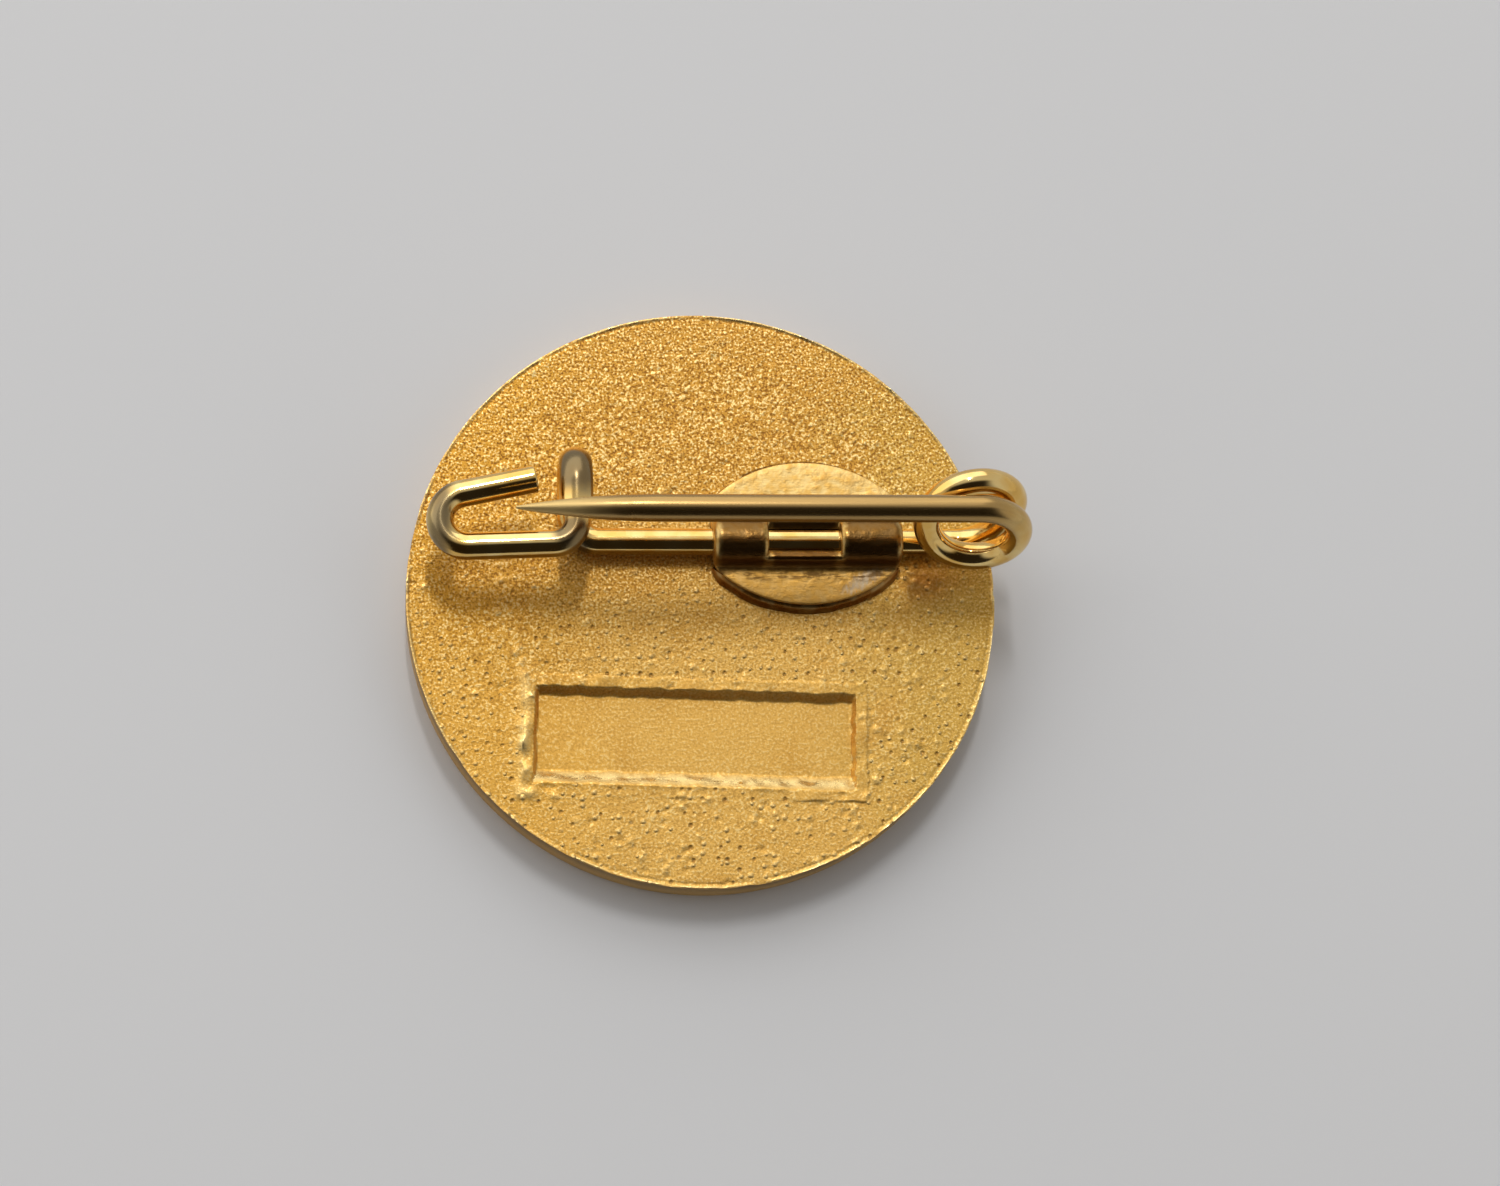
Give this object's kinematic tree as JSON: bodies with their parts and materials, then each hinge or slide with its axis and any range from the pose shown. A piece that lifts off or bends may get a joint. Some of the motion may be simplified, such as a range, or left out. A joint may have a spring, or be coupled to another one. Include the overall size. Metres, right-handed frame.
{
  "type": "enamel pin badge",
  "caption": "Round gilt badge with an enamel six-petal face and, on its back, an open safety pin of bent wire held by a soldered bridge plate.",
  "frame": {"origin": "middle of the enamel face, on the plane of its metal lines", "axes": "the badge lies face down: +Z points out of its back, +X runs along the pin from its point to its coil, +Y points up across the back"},
  "size_m": [0.0228, 0.022, 0.0075],
  "materials": {
    "gilt_body": "gilt, sand-blasted back",
    "gilt_plate": "gilt, bright rolled sheet",
    "gilt_wire": "gilt, polished drawn wire",
    "solder": "dull solder under thin gilding",
    "enamel_red": "fired enamel, stoned flush and polished",
    "enamel_ivory": "fired enamel, stoned flush and polished",
    "enamel_blue": "fired enamel, stoned flush and polished"
  },
  "bodies": {
    "badge": {"badge_body": "gilt_body", "enamel_border": "enamel_red", "enamel_petal_1": "enamel_ivory", "enamel_petal_2": "enamel_ivory", "enamel_petal_3": "enamel_ivory", "enamel_petal_4": "enamel_ivory", "enamel_petal_5": "enamel_ivory", "enamel_petal_6": "enamel_ivory", "enamel_ground_1": "enamel_blue", "enamel_ground_2": "enamel_blue", "enamel_ground_3": "enamel_blue", "enamel_ground_4": "enamel_blue", "enamel_ground_5": "enamel_blue", "enamel_ground_6": "enamel_blue", "solder_layer": "solder", "bridge_plate": "gilt_plate", "base_wire": "gilt_wire", "catch_hook": "gilt_wire"},
    "spring": {"spring_coil": "gilt_wire"},
    "pin": {"pin_arm": "gilt_wire"}
  },
  "joints": [
    {"name": "pin_sway", "type": "hinge", "parent": "badge", "child": "spring", "pos_m": [0.00745, 0.00193, 0.00242], "axis": [0, 0, 1], "range_deg": [-8, 8], "stiffness_Nm_per_rad": 0.3, "deforming": ["spring_coil"]},
    {"name": "pin_lift", "type": "hinge", "parent": "spring", "child": "pin", "pos_m": [0.00962, 0.00193, 0.0052], "axis": [0, 1, 0], "range_deg": [-5, 25], "stiffness_Nm_per_rad": 0.3, "deforming": ["spring_coil"]}
  ]
}
